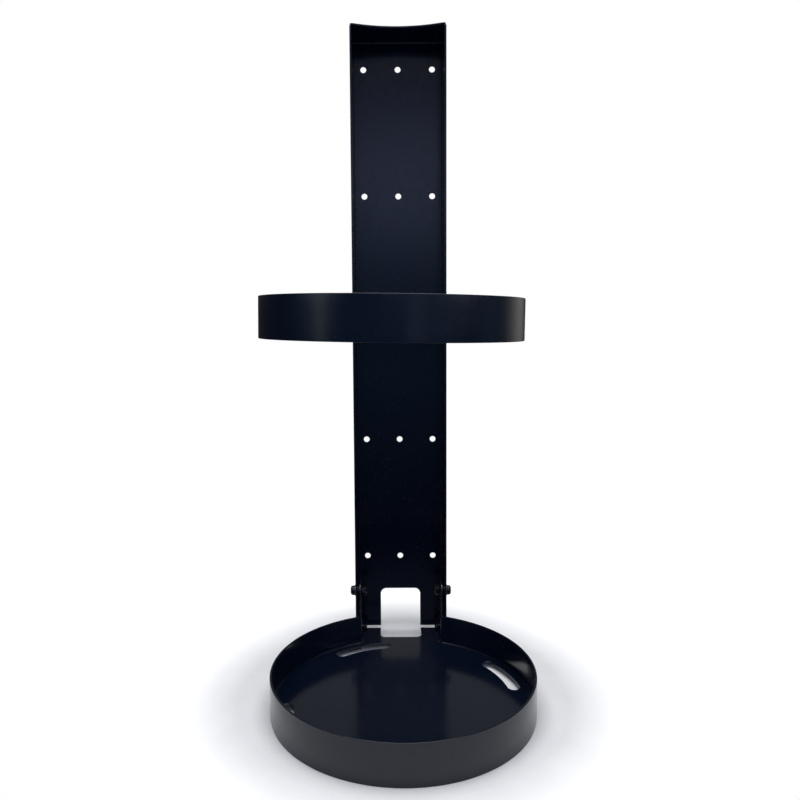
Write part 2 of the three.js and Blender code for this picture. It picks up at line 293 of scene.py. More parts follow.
def round_edges(piece, width, angle):
    """Bevels the edges sharper than angle, in degrees, and keeps broad faces flat."""
    bevel = piece.modifiers.new("rounded edges", "BEVEL")
    bevel.width = width
    bevel.segments = 2
    bevel.limit_method = "ANGLE"
    bevel.angle_limit = math.radians(angle)
    bevel.use_clamp_overlap = False
    normals = piece.modifiers.new("flat faces", "WEIGHTED_NORMAL")
    normals.weight = 50
    normals.keep_sharp = False


def sheet_part(name, quads, node, body, coat):
    """A part of coated sheet, from quads on the middle of its sheet."""
    piece = part(name, quads, coat, body, [node])
    thicken = piece.modifiers.new("sheet", "SOLIDIFY")
    thicken.thickness = SHEET
    thicken.offset = 0
    thicken.use_even_offset = True
    round_edges(piece, EDGE_ROUND, 55)
    return piece


# ---- Column ----


def make_column(coat):
    """The column's sheet. The pattern is a cross: a flat middle, two folds and flanges beside it
    up to the top, and above it the top fold and the top plate. In the top plate u beyond the
    flat middle is squeezed on to the plate's width, and v is stretched to reach the plate's
    hollow front edge, an arc about the tray's axis."""
    flat = column_high.x - SHEET / 2 - COLUMN_FOLD
    turn = COLUMN_FOLD * math.pi / 2
    fold_y = plate_middle - COLUMN_FOLD
    flange_end = flat + turn + fold_y - column_front
    pivot_u = flat + turn + fold_y - pivot_y
    fold_start = column_high.z - SHEET / 2 - COLUMN_FOLD
    fold_end = fold_start + turn
    tip = fold_start + turn / 6
    flange_top = column_high.z - SHEET - GAP
    top_half = column_high.x - TOP_PLATE_INSET
    plate_length = fold_y - tray_axis_y - math.sqrt(TRAY_RADIUS**2 - top_half**2)
    top_end = fold_end + plate_length
    rows = [row_height + k * ROW_PITCH for k in range(-ROWS_EACH_WAY, ROWS_EACH_WAY + 1)]
    reach = HOLE_RADIUS + HOLE_MARGIN
    inner = CUTOUT_HALF_WIDTH - CUTOUT_CORNER
    us = lines(
        around(0, reach, HOLE_STEPS),
        *mirrored(
            (inner, CUTOUT_HALF_WIDTH + HOLE_MARGIN, CORNER_STEPS),
            around(hole_spacing, reach, HOLE_STEPS),
            (flat, flat + turn, 7),
            around(pivot_u, reach, HOLE_STEPS),
            (pivot_u + reach, flange_end, 2),
        ),
    )
    vs = lines(
        (column_low.z, CUTOUT_TOP - CUTOUT_CORNER, 3),
        (CUTOUT_TOP - CUTOUT_CORNER, CUTOUT_TOP + HOLE_MARGIN, CORNER_STEPS),
        around(pivot_z, reach, HOLE_STEPS),
        *[around(row, reach, HOLE_STEPS) for row in rows],
        (fold_start, fold_end, 6),
        (fold_end, top_end - TOP_PLATE_CORNER, 10),
        (top_end - TOP_PLATE_CORNER, top_end, 5),
    )

    def keep(u, v):
        side = np.abs(u) > flat
        flange = np.abs(u) > flat + turn
        beside_fold = ~side | (flange & (v < tip))
        above = np.where(v < fold_end, beside_fold, ~flange)
        return np.where(v < fold_start, True, above)

    cutout_low = (-CUTOUT_HALF_WIDTH, column_low.z - CUTOUT_CORNER)
    cutout_high = (CUTOUT_HALF_WIDTH, CUTOUT_TOP)
    openings = [(cutout_low, cutout_high, CUTOUT_CORNER, HOLE_MARGIN, "rtl")]
    openings += [hole(side * pivot_u, pivot_z) for side in (-1, 1)]
    openings += [hole(u, row) for row in rows for u in (-hole_spacing, 0, hole_spacing)]
    quads = pattern(us, vs, keep, openings)
    u, v = quads[..., 0], quads[..., 1]

    across, forward = fold(u, flat, COLUMN_FOLD)
    in_tip = np.clip((v - fold_start) / (tip - fold_start), 0, 1)
    height = np.minimum(v, fold_start) + in_tip * (flange_top - fold_start) * (v > fold_start)
    low_points = np.stack([across, plate_middle - forward, height], -1)

    squeeze = (top_half - flat) / turn
    top_x = np.sign(u) * (np.minimum(np.abs(u), flat) + np.maximum(np.abs(u) - flat, 0) * squeeze)
    rise, inwards = fold(np.maximum(v - fold_start, 0), 0, COLUMN_FOLD)
    run = np.maximum(v - fold_end, 0)
    width, run = rounded_off(np.abs(top_x), run, top_half, plate_length, TOP_PLATE_CORNER, 1, 1)
    front = tray_axis_y + np.sqrt(TRAY_RADIUS**2 - width**2)
    top_y = np.where(v > fold_end, fold_y - run / plate_length * (fold_y - front), plate_middle - inwards)
    top_points = np.stack([np.sign(u) * width, top_y, fold_start + rise], -1)

    on_top = (v > fold_start) & ((np.abs(u) < flat + turn / 12) | (v > fold_end - turn / 12))
    points = np.where(on_top[..., None], top_points, low_points)
    return sheet_part("column_sheet", points, "column", "upright", coat)


# ---- Tray ----


def make_tray_plate(coat):
    """The tray's floor, tab and ears in one sheet. The disc's pattern is polar, u the angle times
    the slots' radius and v the distance from the tray's axis, and its last ring reaches the
    straight line where the ears begin. Behind that line the tab's pattern is square, and its
    sides fold up into the ears."""
    slot_radius = TRAY_RADIUS - SLOT_INSET
    disc_radius = TRAY_RADIUS - SHEET - GAP
    flat = ear_middle - EAR_FOLD
    turn = EAR_FOLD * math.pi / 2
    tab_line = ear_front - tray_axis_y
    notch_front = ear_back - NOTCH_DEPTH
    reach = SLOT_HALF_WIDTH + SLOT_MARGIN
    block_end = SLOT_HALF_SPAN * slot_radius + reach
    slot_pitch = math.tau / SLOT_COUNT
    middles = [(SLOT_FIRST_ANGLE + k * slot_pitch) * slot_radius for k in range(-1, SLOT_COUNT - 1)]

    inner = CUTOUT_HALF_WIDTH - NOTCH_CORNER
    outer = CUTOUT_HALF_WIDTH + HOLE_MARGIN
    tab_marks = lines((-inner, inner, 8), *mirrored((inner, outer, CORNER_STEPS), (outer, flat, 4)))
    sector = np.arctan2(tab_line, tab_marks) * slot_radius
    shoulder = np.arctan2(tab_line, flat) * slot_radius
    whole_turn = math.tau * slot_radius
    slots = []
    for middle in middles:
        slots.append((middle - block_end, middle - block_end + reach, 6))
        slots.append((middle - block_end + reach, middle + block_end - reach, 14))
        slots.append((middle + block_end - reach, middle + block_end, 6))
    shoulders = np.array([shoulder - turn / 3, whole_turn / 2 - shoulder + turn / 3])
    us = thinned(lines(*slots), np.concatenate([sector, shoulders]), 0.35 * MM)
    us = thinned(us, np.linspace(-whole_turn / 4, whole_turn * 3 / 4, 121), 1.5 * MM)
    vs = lines(
        (0, slot_radius - reach, 4),
        around(slot_radius, reach, HOLE_STEPS),
        (slot_radius + reach, disc_radius, 1),
    )
    openings = [
        (
            (middle - block_end + SLOT_MARGIN, slot_radius - SLOT_HALF_WIDTH),
            (middle + block_end - SLOT_MARGIN, slot_radius + SLOT_HALF_WIDTH),
            SLOT_HALF_WIDTH,
            SLOT_MARGIN,
            "brtl",
        )
        for middle in middles
    ]
    disc = pattern(us, vs, everywhere, openings)
    angle = disc[..., 0] / slot_radius
    last_ring = slot_radius + reach
    in_sector = np.abs(angle - math.pi / 2) < math.pi / 2 - shoulder / slot_radius + 1e-6
    edge = np.where(in_sector, tab_line / np.where(in_sector, np.sin(angle), 1), disc_radius)
    outward = np.clip((disc[..., 1] - last_ring) / (disc_radius - last_ring), 0, 1)
    radius = np.minimum(disc[..., 1], last_ring) + outward * (edge - last_ring)
    disc_points = np.stack(
        [
            radius * np.cos(angle),
            tray_axis_y + radius * np.sin(angle),
            np.full(radius.shape, floor_middle),
        ],
        -1,
    )

    in_tab = (us > shoulder - 1e-7) & (us < whole_turn / 2 - shoulder + 1e-7)
    tab_us = tab_line / np.tan(us[in_tab] / slot_radius)
    ear_top = flat + turn + floor_high.z - floor_middle - EAR_FOLD
    pivot_u = flat + turn + pivot_z - floor_middle - EAR_FOLD
    hole_reach = HOLE_RADIUS + HOLE_MARGIN
    ear_us = lines(
        *mirrored(
            (flat, flat + turn, 8),
            around(pivot_u, hole_reach, HOLE_STEPS),
            (ear_top - EAR_CORNER, ear_top, CORNER_STEPS),
        )
    )
    tab_us = np.unique(np.round(np.concatenate([tab_us, ear_us]), 7))
    tab_vs = lines(
        (ear_front, ear_front + EAR_CORNER, CORNER_STEPS),
        (ear_back - EAR_CORNER, ear_back, CORNER_STEPS),
        around(pivot_y, hole_reach, HOLE_STEPS),
        (notch_front - HOLE_MARGIN, notch_front + NOTCH_CORNER, CORNER_STEPS),
    )
    notch_low = (-CUTOUT_HALF_WIDTH, notch_front)
    notch_high = (CUTOUT_HALF_WIDTH, ear_back + NOTCH_CORNER)
    tab_openings = [(notch_low, notch_high, NOTCH_CORNER, HOLE_MARGIN, "lbr")]
    tab_openings += [hole(side * pivot_u, pivot_y) for side in (-1, 1)]
    tab = pattern(tab_us, tab_vs, everywhere, tab_openings)
    run, depth = np.abs(tab[..., 0]), tab[..., 1]
    run, depth = rounded_off(run, depth, ear_top, ear_front, EAR_CORNER, 1, -1)
    run, depth = rounded_off(run, depth, ear_top, ear_back, EAR_CORNER, 1, 1)
    across, up = fold(run * np.sign(tab[..., 0]), flat, EAR_FOLD)
    tab_points = np.stack([across, depth, floor_middle + up], -1)
    quads = np.concatenate([disc_points, tab_points])
    return sheet_part("tray_plate", quads, "tray_floor", "foot", coat)


RIM_STEPS = 212
HOOP_STEPS = 240
RISE_STEPS = 4


def strip(radius, start, end, steps, low, high, rise_steps):
    """The quads of a strip rolled about the Z axis, from angle start to end, low to high."""
    quads = pattern(
        lines((start, end, steps)),
        lines((low, high, rise_steps)),
        everywhere,
        [],
    )
    angle = quads[..., 0]
    return np.stack([radius * np.cos(angle), radius * np.sin(angle), quads[..., 1]], -1)


def rim_half_opening():
    """Half the angle that the rim leaves open at the back, where its ends meet the ears."""
    return math.asin(ear_inner / (TRAY_RADIUS - SHEET / 2))


def make_rim(coat):
    """The rim: a rolled strip, open at the back between the ears."""
    start = math.pi / 2 + rim_half_opening()
    end = math.tau + math.pi / 2 - rim_half_opening()
    quads = strip(TRAY_RADIUS - SHEET / 2, start, end, RIM_STEPS, rim_low.z, rim_high.z, RISE_STEPS)
    return sheet_part("tray_rim_strip", quads + [0, tray_axis_y, 0], "tray_rim", "foot", coat)


# ---- Hoop ----


def hoop_axis_x(height):
    """Where the tilted hoop's axis passes a height."""
    return hoop_centre.x + (height - hoop_centre.z) * math.tan(HOOP_TILT)


def make_hoop(coat):
    """The hoop: a strip rolled to a full circle, tilted a little about Y as it is welded on."""
    half = hoop_height / 2
    quads = strip(hoop_radius - SHEET / 2, 0, math.tau, HOOP_STEPS, -half, half, RISE_STEPS)
    tilt = np.array(Matrix.Rotation(HOOP_TILT, 3, "Y"))
    return sheet_part("hoop_strip", quads @ tilt.T + np.array(hoop_centre), "hoop_band", "upright", coat)


def bracket_tip(x, height):
    """The y at which a bracket's arm at x meets the outside of the hoop."""
    aside = x - hoop_axis_x(height)
    return hoop_centre.y + np.sqrt((hoop_radius + GAP) ** 2 - aside**2)


def make_bracket(coat):
    """The hoop's bracket: a U whose web lies on the column's plate. The arms are stretched
    along Y until they meet the hoop."""
    flat = bracket_high.x - SHEET / 2 - COLUMN_FOLD
    turn = COLUMN_FOLD * math.pi / 2
    web_middle = bracket_high.y - SHEET / 2
    arm = ARM_PATTERN
    reach = HOLE_RADIUS + HOLE_MARGIN
    us = lines(
        around(0, reach, HOLE_STEPS),
        *mirrored(
            around(hole_spacing, reach, HOLE_STEPS),
            (flat, flat + turn, 6),
            (flat + turn, flat + turn + arm, 4),
        ),
    )
    vs = lines((bracket_low.z, bracket_high.z, 2), around(row_height, reach, HOLE_STEPS))
    holes = [hole(u, row_height) for u in (-hole_spacing, 0, hole_spacing)]
    quads = pattern(us, vs, everywhere, holes)
    across, forward = fold(quads[..., 0], flat, COLUMN_FOLD)
    height = quads[..., 1]
    bend_y = web_middle - COLUMN_FOLD
    share = np.clip((forward - COLUMN_FOLD) / arm, 0, 1)
    tip = bracket_tip(np.sign(across) * (flat + COLUMN_FOLD), height)
    y = np.where(share > 0, bend_y - share * (bend_y - tip), web_middle - forward)
    points = np.stack([across, y, height], -1)
    return sheet_part("hoop_bracket_sheet", points, "hoop_bracket", "upright", coat)


# ---- Weld beads ----


def bead(path, first, second, radius):
    """The quads of a weld bead: a tube along the path, over the two unit vectors across it. Its
    radius ripples by a few hundredths with each drop of the weld, and its ends are round."""
    path = np.asarray(path, float)
    steps = np.linalg.norm(np.diff(path, axis=0), axis=1)
    run = np.concatenate([[0], np.cumsum(steps)])
    share = np.clip(np.minimum(run, run[-1] - run) / radius, 0, 1)
    size = radius * (1 + 0.05 * np.sin(math.tau * run / WELD_RIPPLE))
    size = size * np.sqrt(1 - (1 - share) ** 2)
    turn = np.linspace(0, math.tau, 14, endpoint=False)[None, :, None]
    first = np.broadcast_to(first, path.shape)[:, None]
    second = np.broadcast_to(second, path.shape)[:, None]
    rings = path[:, None] + size[:, None, None] * (np.cos(turn) * first + np.sin(turn) * second)
    return skin(rings)


def arc_bead(radius, start, end, height, size):
    """A bead along an arc about the tray's axis."""
    steps_per_turn = 1500
    count = int((end - start) / math.tau * steps_per_turn)
    angle = np.linspace(start, end, count)
    outward = np.stack([np.cos(angle), np.sin(angle), np.zeros(count)], -1)
    path = outward * radius + [0, tray_axis_y, height]
    return bead(path, outward, [0, 0, 1], size)


def upright_bead(x, y, low, high, size):
    """A bead straight up from low to high."""
    step = 0.35 * MM
    height = np.linspace(low, high, int((high - low) / step))
    path = np.stack([np.full(len(height), x), np.full(len(height), y), height], -1)
    return bead(path, [1, 0, 0], [0, 1, 0], size)


def make_foot_welds(coat):
    """The fillet inside the tray, the beads at the rim's ends with two drops above each, the
    beads in the bends at the ears' heels, and the stitches under the floor."""
    inner = TRAY_RADIUS - SHEET
    floor_top = floor_low.z + SHEET
    start = math.pi / 2 + rim_half_opening()
    end = math.tau + math.pi / 2 - rim_half_opening()
    fillet = arc_bead(inner, start, end, floor_top, FILLET_WELD)
    part("tray_fillet_weld", fillet, coat, "foot")

    rim_end_y = tray_axis_y + math.sqrt((TRAY_RADIUS - SHEET / 2) ** 2 - ear_inner**2)
    low = floor_low.z + EAR_FOLD + SHEET
    high = rim_high.z - SHEET / 2
    joint_y = (rim_end_y + ear_front) / 2
    heel_y = np.linspace(ear_back - HEEL_WELD_LENGTH, ear_back, 24)
    heel_x = np.full(24, ear_inner - HEEL_WELD)
    heel_z = np.full(24, floor_top + HEEL_WELD)
    ends = []
    for side in (-1, 1):
        ear_x = side * ear_middle
        ends.append(upright_bead(ear_x, joint_y, low, high, RIM_END_WELD))
        for bottom, size in WELD_DROPS:
            ends.append(upright_bead(ear_x, ear_front, bottom, bottom + 2 * size, size))
        path = np.stack([side * heel_x, heel_y, heel_z], -1)
        ends.append(bead(path, [1, 0, 0], [0, 0, 1], HEEL_WELD))
    part("rim_end_welds", np.concatenate(ends), coat, "foot")

    stitches = []
    for middle in math.pi / 2 + math.tau / STITCH_SPACES * np.arange(1, STITCH_SPACES):
        span = (middle - STITCH_HALF_SPAN, middle + STITCH_HALF_SPAN)
        stitches.append(arc_bead(inner, *span, floor_low.z, STITCH_WELD))
    part("tray_stitch_welds", np.concatenate(stitches), coat, "foot")


def make_upright_welds(coat):
    """The beads between the bracket's arms and the hoop, and the plugs in the column's two top
    corners, each an arc round the top fold's end."""
    arm_inner = bracket_high.x - SHEET
    low = bracket_low.z + MM
    high = bracket_high.z - MM
    beads = []
    for side in (-1, 1):
        tip = float(bracket_tip(side * arm_inner, row_height))
        beads.append(upright_bead(side * arm_inner, tip, low, high, BRACKET_WELD))
    part("hoop_bracket_welds", np.concatenate(beads), coat, "upright")

    turn = np.radians(np.linspace(-25, 115, 40))
    outward = np.stack([0 * turn, np.cos(turn), np.sin(turn)], -1)
    fold_axis = [0, plate_middle - COLUMN_FOLD, column_high.z - SHEET / 2 - COLUMN_FOLD]
    plugs = []
    for side in (-1, 1):
        aside = [side * (column_high.x - SHEET * 0.95), 0, 0]
        path = outward * COLUMN_FOLD * 0.8 + fold_axis + aside
        plugs.append(bead(path, outward, [1, 0, 0], CORNER_WELD))
    part("column_corner_welds", np.concatenate(plugs), coat, "upright")


# ---- Fasteners, drawn about Z and then turned on to their axes ----

turn_angles = np.linspace(0, math.tau, TURN_STEPS, endpoint=False)


def hexagon(apothem):
    """The radius of a hexagon over the turn angles, with a corner at angle 0."""
    return apothem / np.cos(np.mod(turn_angles, math.pi / 3) - math.pi / 6)


def turned(profile, closed=False):
    """The quads of a turned piece: each step of the profile is (radius, height), and either may
    vary over the turn angles."""
    full = [(np.broadcast_to(r, TURN_STEPS), np.broadcast_to(z, TURN_STEPS)) for r, z in profile]
    rings = [np.stack([r * np.cos(turn_angles), r * np.sin(turn_angles), z], -1) for r, z in full]
    return skin(np.array(rings), closed)


def on_axis(quads, origin, axis, twist):
    """Quads turned by the twist about Z, then from Z on to the axis, at the origin."""
    axis = np.array(axis, float)
    first = np.array([0.0, 0.0, 1.0])
    basis = np.stack([first, np.cross(axis, first), axis], -1)
    spin = np.array(Matrix.Rotation(twist, 3, "Z"))
    return quads @ (basis @ spin).T + np.array(origin, float)


def bolt_quads(length):
    """A button-headed socket bolt with its head on z = 0. The dome is a quarter ellipse, the
    socket's rings go from a circle to a hexagon, and the thread is a helix: its depth follows
    the cosine of height over pitch less turn angle."""
    crown = 2.9 * MM
    rim = 0.25 * MM
    socket = hexagon(SOCKET_APOTHEM)
    lead_in = hexagon(SOCKET_APOTHEM + rim)
    flank = HEAD_RADIUS - crown
    rise = HEAD_HEIGHT - HEAD_EDGE
    steps = np.radians(np.linspace(0, 90, 11))
    dome = [
        (crown + flank * math.cos(t), HEAD_EDGE + rise * math.sin(t))
        for t in steps
    ]
    top = [
        (0, HEAD_HEIGHT - SOCKET_DEPTH - SOCKET_APOTHEM / 3),
        (socket * 0.97, HEAD_HEIGHT - SOCKET_DEPTH),
        (socket, HEAD_HEIGHT - SOCKET_DEPTH + rim / 2),
        (socket, HEAD_HEIGHT - rim),
        (lead_in, HEAD_HEIGHT),
        *reversed(dome),
        (HEAD_RADIUS, rim),
        (HEAD_RADIUS - rim * 0.3, rim * 0.3),
        (HEAD_RADIUS - rim, 0),
        (THREAD_CREST, 0),
    ]
    rings = int(length / THREAD_PITCH * 10)
    chamfer = 0.7 * MM
    thread = []
    for height in -np.linspace(0.3 * MM, length, rings):
        wave = 0.5 + 0.5 * np.cos(math.tau * height / THREAD_PITCH - turn_angles)
        radius = THREAD_ROOT + (THREAD_CREST - THREAD_ROOT) * np.minimum(wave * 1.25, 1)
        tapered = THREAD_CREST - chamfer + (height + length)
        thread.append((np.minimum(radius, tapered), height))
    return turned([*top, *thread, (0, -length)])


def nut_quads(thickness):
    """A hexagon nut from z = 0 up. Both faces are chamfered by a cone, so that each face's edge
    drops where the hexagon reaches past the chamfer's circle, and the bore is countersunk."""
    outside = hexagon(NUT_APOTHEM)
    circle = NUT_APOTHEM * 0.97
    drop = (outside - circle) * math.tan(math.radians(30))
    sink = 0.45 * MM
    profile = [
        (NUT_BORE + sink, 0),
        (circle, 0),
        (outside, drop),
        (outside, thickness / 2),
        (outside, thickness - drop),
        (circle, thickness),
        (NUT_BORE + sink, thickness),
        (NUT_BORE, thickness - sink),
        (NUT_BORE, thickness / 2),
        (NUT_BORE, sink),
    ]
    return turned(profile, closed=True)


def washer_quads(thickness):
    """A washer from z = 0 up, rounded over on its outside as it is punched."""
    round_over = 0.3 * MM
    steps = np.radians(np.linspace(0, 90, 4))
    outer = [
        (WASHER_RADIUS - round_over * (1 - math.cos(t)), thickness - round_over * (1 - math.sin(t)))
        for t in steps
    ]
    profile = [
        (HOLE_RADIUS, 0),
        (WASHER_RADIUS - 0.1 * MM, 0),
        (WASHER_RADIUS, 0.1 * MM),
        *outer,
        (HOLE_RADIUS + 0.1 * MM, thickness),
        (HOLE_RADIUS, thickness - 0.1 * MM),
    ]
    return turned(profile, closed=True)


def fastener(node, quads, zinc, crisp):
    """A fastener that stands for one CAD node, shaded sharp where its faces turn by more than
    the crisp angle, in degrees."""
    piece = part(f"{node}_finished", quads, zinc, "upright", [node])
    piece.data.set_sharp_from_angle(angle=math.radians(crisp))
    return piece


def make_fastener_set(places, axis, twist, zinc):
    """Bolt, washers and nut on one axis. places maps a kind to its node's name, and the node's
    box says where the piece starts and ends along the axis."""
    axis = np.array(axis, float)
    for kind, node in places.items():
        low, high = (np.array(corner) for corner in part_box(node))
        middle = (low + high) / 2
        half = np.abs(axis) @ (high - low) / 2
        foot = middle - axis * half
        if kind == "bolt":
            length = 2 * half - HEAD_HEIGHT
            placed = on_axis(bolt_quads(length), foot + axis * length, axis, twist)
            fastener(node, placed, zinc, 38)
        elif kind == "nut":
            placed = on_axis(nut_quads(2 * half), foot, axis, twist)
            round_edges(fastener(node, placed, zinc, 180), 0.12 * MM, 25)
        else:
            fastener(node, on_axis(washer_quads(2 * half), foot, axis, twist), zinc, 38)


def make_fasteners(zinc):
    """The column's two pivots and the hoop's three screws."""
    for label, side, twist in (("left", -1, 0.35), ("right", 1, 0.9)):
        kinds = ("bolt", "washer", "spacer", "nut")
        places = {kind: f"pivot_{kind}_{label}" for kind in kinds}
        make_fastener_set(places, (side, 0, 0), twist, zinc)
    for label, twist in (("left", 0.2), ("middle", 0.75), ("right", 1.3)):
        places = {"bolt": f"hoop_screw_{label}"}
        places |= {kind: f"hoop_{kind}_{label}" for kind in ("washer", "nut")}
        make_fastener_set(places, (0, 1, 0), twist, zinc)


# ---- Materials ----


def new_material(name):
    """A material with a Principled shader, as (material, node tree, shader)."""
    material = bpy.data.materials.new(name)
    material.use_nodes = True
    tree = material.node_tree
    return material, tree, tree.nodes["Principled BSDF"]


def add(tree, kind, **settings):
    """A shader node with its properties set."""
    made = tree.nodes.new(kind)
    for name, value in settings.items():
        setattr(made, name, value)
    return made


def noise(tree, place, scale, detail, roughness=0.5):
    """Noise on object coordinates, scale in features per metre; gives its value socket."""
    made = add(tree, "ShaderNodeTexNoise")
    made.inputs["Scale"].default_value = scale
    made.inputs["Detail"].default_value = detail
    made.inputs["Roughness"].default_value = roughness
    tree.links.new(place, made.inputs["Vector"])
    return made.outputs["Fac"]


def ranged(tree, value, low, high, to_low, to_high, course="LINEAR"):
    """The value's range low to high, spread over to_low to to_high and held beyond them."""
    made = add(tree, "ShaderNodeMapRange", interpolation_type=course)
    settings = {"From Min": low, "From Max": high, "To Min": to_low, "To Max": to_high}
    for name, number in settings.items():
        made.inputs[name].default_value = number
    tree.links.new(value, made.inputs["Value"])
    return made.outputs["Result"]


def ramp(tree, value, stops):
    """A colour ramp with stops (position, colour); gives its colour socket."""
    made = add(tree, "ShaderNodeValToRGB")
    band = made.color_ramp
    while len(band.elements) < len(stops):
        band.elements.new(0.5)
    for element, (position, colour) in zip(band.elements, stops):
        element.position = position
        element.color = (*colour, 1)
    tree.links.new(value, made.inputs["Fac"])
    return made.outputs["Color"]


def mixed(tree, factor, first, second):
    """Colour first turning into colour second by the factor; each may be a socket or a colour."""
    made = add(tree, "ShaderNodeMix", data_type="RGBA")
    tree.links.new(factor, made.inputs["Factor"])
    for name, colour in (("A", first), ("B", second)):
        socket = next(s for s in made.inputs if s.name == name and s.type == "RGBA")
        if isinstance(colour, tuple):
            socket.default_value = (*colour, 1)
        else:
            tree.links.new(colour, socket)
    return next(s for s in made.outputs if s.type == "RGBA")


def maths(tree, operation, first, second):
    """A maths node on two values, each a socket or a number."""
    made = add(tree, "ShaderNodeMath", operation=operation)
    for socket, value in zip(made.inputs, (first, second)):
        if isinstance(value, (int, float)):
            socket.default_value = value
        else:
            tree.links.new(value, socket)
    return made.outputs["Value"]


def bumped(tree, height, strength, distance, before=None):
    """A bump of the height, in metres at full strength; gives its normal socket."""
    made = add(tree, "ShaderNodeBump")
    made.inputs["Strength"].default_value = strength
    made.inputs["Distance"].default_value = distance
    tree.links.new(height, made.inputs["Height"])
    if before is not None:
        tree.links.new(before, made.inputs["Normal"])
    return made.outputs["Normal"]


def worn_edges(tree, low, high):
    """How far a place is a worn outside edge, from 0 to 1, by the surface's pointiness."""
    return ranged(tree, add(tree, "ShaderNodeNewGeometry").outputs["Pointiness"], low, high, 0, 1)


def powder_coat():
    """Satin blue-black powder coat. It has the orange peel of a baked coat, a fine grain on
    top, cloudy changes of gloss, a few dust specks, and edges where handling has polished it
    paler."""
    material, tree, shader = new_material("black_powder_coat")
    place = add(tree, "ShaderNodeTexCoord").outputs["Object"]
    clouds = noise(tree, place, 9, 3)
    mottle = noise(tree, place, 160, 4, 0.6)
    peel = noise(tree, place, 620, 2)
    grain = noise(tree, place, 2600, 2)
    specks = noise(tree, place, 700, 0)
    base = ramp(
        tree,
        clouds,
        [(0.3, (0.0018, 0.0043, 0.0120)), (0.7, (0.0026, 0.0056, 0.0150))],
    )
    dusty = ranged(tree, specks, 0.82, 0.86, 0, 0.35)
    coloured = mixed(tree, dusty, base, (0.05, 0.052, 0.056))
    edges = worn_edges(tree, 0.54, 0.66)
    rubbed = maths(tree, "MULTIPLY", edges, ranged(tree, mottle, 0.4, 0.65, 0.1, 0.6))
    coloured = mixed(tree, rubbed, coloured, (0.03, 0.033, 0.038))
    tree.links.new(coloured, shader.inputs["Base Color"])
    clouded = ranged(tree, clouds, 0.3, 0.7, 0.13, 0.17)
    mottled = ranged(tree, mottle, 0.3, 0.7, -0.02, 0.03)
    roughness = maths(tree, "ADD", clouded, mottled)
    roughness = maths(tree, "ADD", roughness, ranged(tree, dusty, 0, 0.35, 0, 0.3))
    tree.links.new(roughness, shader.inputs["Roughness"])
    shader.inputs["IOR"].default_value = 1.5
    fine = bumped(tree, grain, 0.25, 0.004 * MM)
    tree.links.new(bumped(tree, peel, 0.5, 0.012 * MM, fine), shader.inputs["Normal"])
    return material


def black_zinc():
    """Black passivated zinc on the fasteners: dark metal with a warm and cool drift, fine
    scuffs, and bright corners where a key or spanner has touched."""
    material, tree, shader = new_material("black_zinc")
    place = add(tree, "ShaderNodeTexCoord").outputs["Object"]
    drift = noise(tree, place, 240, 3)
    scuffs = noise(tree, place, 1900, 4, 0.7)
    base = ramp(
        tree,
        drift,
        [(0.32, (0.020, 0.021, 0.027)), (0.68, (0.038, 0.037, 0.036))],
    )
    edges = worn_edges(tree, 0.53, 0.62)
    rubbed = maths(tree, "MULTIPLY", edges, ranged(tree, scuffs, 0.35, 0.6, 0.15, 0.9))
    tree.links.new(mixed(tree, rubbed, base, (0.35, 0.35, 0.36)), shader.inputs["Base Color"])
    shader.inputs["Metallic"].default_value = 1
    tree.links.new(ranged(tree, scuffs, 0.3, 0.7, 0.17, 0.32), shader.inputs["Roughness"])
    tree.links.new(bumped(tree, scuffs, 0.3, 0.01 * MM), shader.inputs["Normal"])
    return material


# ---- Stage, light and camera ----

FLOOR_RADIUS = 0.26
FLOOR_SIDES = 96
# Where the floor's painted glow, seen only by the camera, begins and where it is full.
BRIGHT_FROM = 0.16
BRIGHT_AT = 0.247

LIGHT_HEIGHT = 1.75
LIGHT_Y = -0.1
LIGHT_SIZE = (1.5, 1.2)
LIGHT_WATTS = 27

CAMERA_AHEAD = 0.5324  # ahead of the object's front
CAMERA_X = -0.0089
CAMERA_HEIGHT = 0.3644
CAMERA_DOWN = 0.085  # radians, as are the next two
CAMERA_ASIDE = -0.005
CAMERA_ROLL = -0.007
LENS = 32.35
SENSOR = 36
SHIFT = (0.015, -0.023)

# The room seen in the coat: its radiance from in front of the stand to behind it, and soft
# glows, each (direction, reach along x, y and z, radiance).
ROOM_SHADES = [(0, (0.004, 0.006, 0.010)), (0.45, (0.012, 0.016, 0.022)), (1, (0.2, 0.205, 0.21))]
GLOWS = [
    ((0.03, -0.98, 0.19), (0.32, 1, 0.15), (0.52, 0.58, 0.92)),
    ((0, -1, 0.02), (3, 2, 0.34), (0.07, 0.12, 0.22)),
    ((0, -0.8, 0.6), (0.9, 0.5, 0.35), (1.6, 1.7, 2.2)),
    ((0, -0.7, -0.7), (2, 0.8, 0.5), (0.12, 0.3, 0.7)),
    ((-0.87, -0.5, 0.05), (0.14, 0.26, 0.5), (0.26, 0.24, 0.20)),
    ((-0.85, -0.4, 0.15), (0.35, 0.8, 0.5), (0.07, 0.13, 0.16)),
    ((0.33, -0.93, 0.15), (0.26, 0.5, 0.5), (0.16, 0.18, 0.22)),
    ((0.62, -0.8, 0.25), (0.4, 0.5, 0.5), (0.14, 0.20, 0.26)),
    ((0.98, 0, 0.05), (0.3, 0.4, 0.4), (0.08, 0.11, 0.15)),
    ((-0.85, -0.45, 0.2), (0.5, 0.6, 0.2), (0.9, 1, 1.2)),
    ((0.85, -0.45, 0.2), (0.5, 0.6, 0.2), (1.8, 1.8, 2)),
    ((0.75, 0.66, 0.05), (0.45, 0.7, 0.4), (0.5, 0.49, 0.47)),
]


